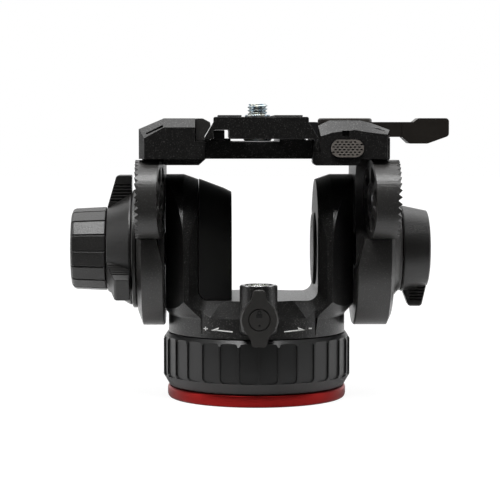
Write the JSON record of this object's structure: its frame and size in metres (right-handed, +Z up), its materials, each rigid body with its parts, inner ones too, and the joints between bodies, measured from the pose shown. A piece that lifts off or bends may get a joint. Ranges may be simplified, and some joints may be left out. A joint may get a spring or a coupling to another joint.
{
  "type": "fluid video head",
  "caption": "Tripod head with panning base, tilting yoke cradle, toothed side rosettes, drag ring, lock and counterbalance knobs, and a sliding camera plate with clamp lever.",
  "frame": {"origin": "on the pan axis, in the plane of the base's lower face", "axes": "+X along the tilt axis towards the clamp lever, -Y towards the operator, +Z up along the pan axis"},
  "size_m": [0.1788, 0.14, 0.1419],
  "materials": {
    "cast_black": "speckled black powder coat on cast aluminium",
    "moulded_black": "fine grain",
    "lever_brown": "satin",
    "red_anodised": "anodised",
    "rubber": "matt",
    "zinc_steel": "blue zinc plated",
    "steel": "machined",
    "button_grey": "dimpled, warm grey",
    "bronze": "bearing bronze",
    "vial": "clear, green fluid"
  },
  "bodies": {
    "base": {"base_flange": "red_anodised", "base_bush": "steel", "pan_spindle": "steel", "spindle_nut": "steel", "pan_fixed_disc": "bronze"},
    "yoke": {"yoke_frame": "cast_black", "pan_cartridge": "steel", "pan_lower_bearing": "bronze", "pan_upper_bearing": "bronze", "level_bezel": "zinc_steel", "level_vial": "vial", "pan_brake_shoe": "bronze", "left_tilt_axle": "steel", "right_tilt_axle": "steel", "spring_housing": "moulded_black", "counterbalance_spring": "steel", "right_inner_cover": "moulded_black", "tilt_fixed_disc": "bronze", "tilt_brake_disc": "steel"},
    "pan_drag": {"pan_drag_ring": "moulded_black"},
    "pan_lock": {"pan_lock_knob": "moulded_black", "pan_lock_cap": "moulded_black", "pan_lock_screw": "steel"},
    "cradle": {"left_side_plate": "cast_black", "right_side_plate": "cast_black", "left_rosette": "cast_black", "left_rosette_bush": "steel", "right_rosette": "cast_black", "right_rosette_bush": "steel", "left_tilt_bearing": "bronze", "right_tilt_bearing": "bronze", "tilt_turning_disc": "bronze", "tilt_brake_pad": "rubber", "tilt_base_ring": "moulded_black", "tilt_lock_collar": "cast_black", "top_carriage": "cast_black", "plate_stop": "steel", "fixed_jaw": "moulded_black", "lever_pin": "steel", "button_spring": "steel"},
    "tilt_drag": {"tilt_drag_ring": "moulded_black"},
    "counterbalance": {"counterbalance_knob": "moulded_black", "counterbalance_stem": "steel"},
    "tilt_lock": {"tilt_lock_knob": "moulded_black", "tilt_lock_stem": "steel"},
    "lever": {"plate_lock_lever": "lever_brown"},
    "jaw": {"clamp_jaw": "moulded_black"},
    "button": {"release_button": "button_grey"},
    "plate": {"slide_plate": "cast_black", "left_pad": "rubber", "right_pad": "rubber"},
    "screw": {"camera_screw": "zinc_steel", "screw_washer": "rubber"}
  },
  "joints": [
    {"name": "pan", "type": "hinge", "parent": "base", "child": "yoke", "pos_m": [0, 0, 0.02], "axis": [0, 0, 1], "continuous": true},
    {"name": "pan_drag_turn", "type": "hinge", "parent": "yoke", "child": "pan_drag", "pos_m": [0, 0, 0.018], "axis": [0, 0, 1], "range_deg": [0, 300]},
    {"name": "pan_lock_turn", "type": "hinge", "parent": "yoke", "child": "pan_lock", "pos_m": [0, -0.056, 0.043], "axis": [0, -1, 0], "range_deg": [-120, 0]},
    {"name": "tilt", "type": "hinge", "parent": "yoke", "child": "cradle", "pos_m": [0, 0, 0.072], "axis": [1, 0, 0], "range_deg": [-80, 55]},
    {"name": "tilt_drag_turn", "type": "hinge", "parent": "cradle", "child": "tilt_drag", "pos_m": [-0.066, 0, 0.072], "axis": [1, 0, 0], "range_deg": [0, 270]},
    {"name": "counterbalance_turn", "type": "hinge", "parent": "cradle", "child": "counterbalance", "pos_m": [-0.08, 0, 0.072], "axis": [1, 0, 0], "range_deg": [0, 300]},
    {"name": "tilt_lock_turn", "type": "hinge", "parent": "cradle", "child": "tilt_lock", "pos_m": [0.076, 0, 0.072], "axis": [1, 0, 0], "range_deg": [0, 120]},
    {"name": "lever_turn", "type": "hinge", "parent": "cradle", "child": "lever", "pos_m": [0.041, -0.026, 0.13], "axis": [0, 0, 1], "range_deg": [0, 60]},
    {"name": "jaw_slide", "type": "slide", "parent": "cradle", "child": "jaw", "axis": [1, 0, 0], "range_m": [0, 0.0012]},
    {"name": "button_press", "type": "slide", "parent": "cradle", "child": "button", "axis": [0, 1, 0], "range_m": [0, 0.002], "stiffness_N_per_m": 600, "springref_m": -0.001, "deforming": ["button_spring"]},
    {"name": "plate_slide", "type": "slide", "parent": "cradle", "child": "plate", "axis": [0, 1, 0], "range_m": [-0.025, 0.025]},
    {"name": "screw_turn", "type": "hinge", "parent": "plate", "child": "screw", "pos_m": [0, -0.02, 0.135], "axis": [0, 0, 1], "continuous": true}
  ],
  "couplings": [
    {"joint": "jaw_slide", "follows": "lever_turn", "m_per_rad": 0.001145}
  ]
}
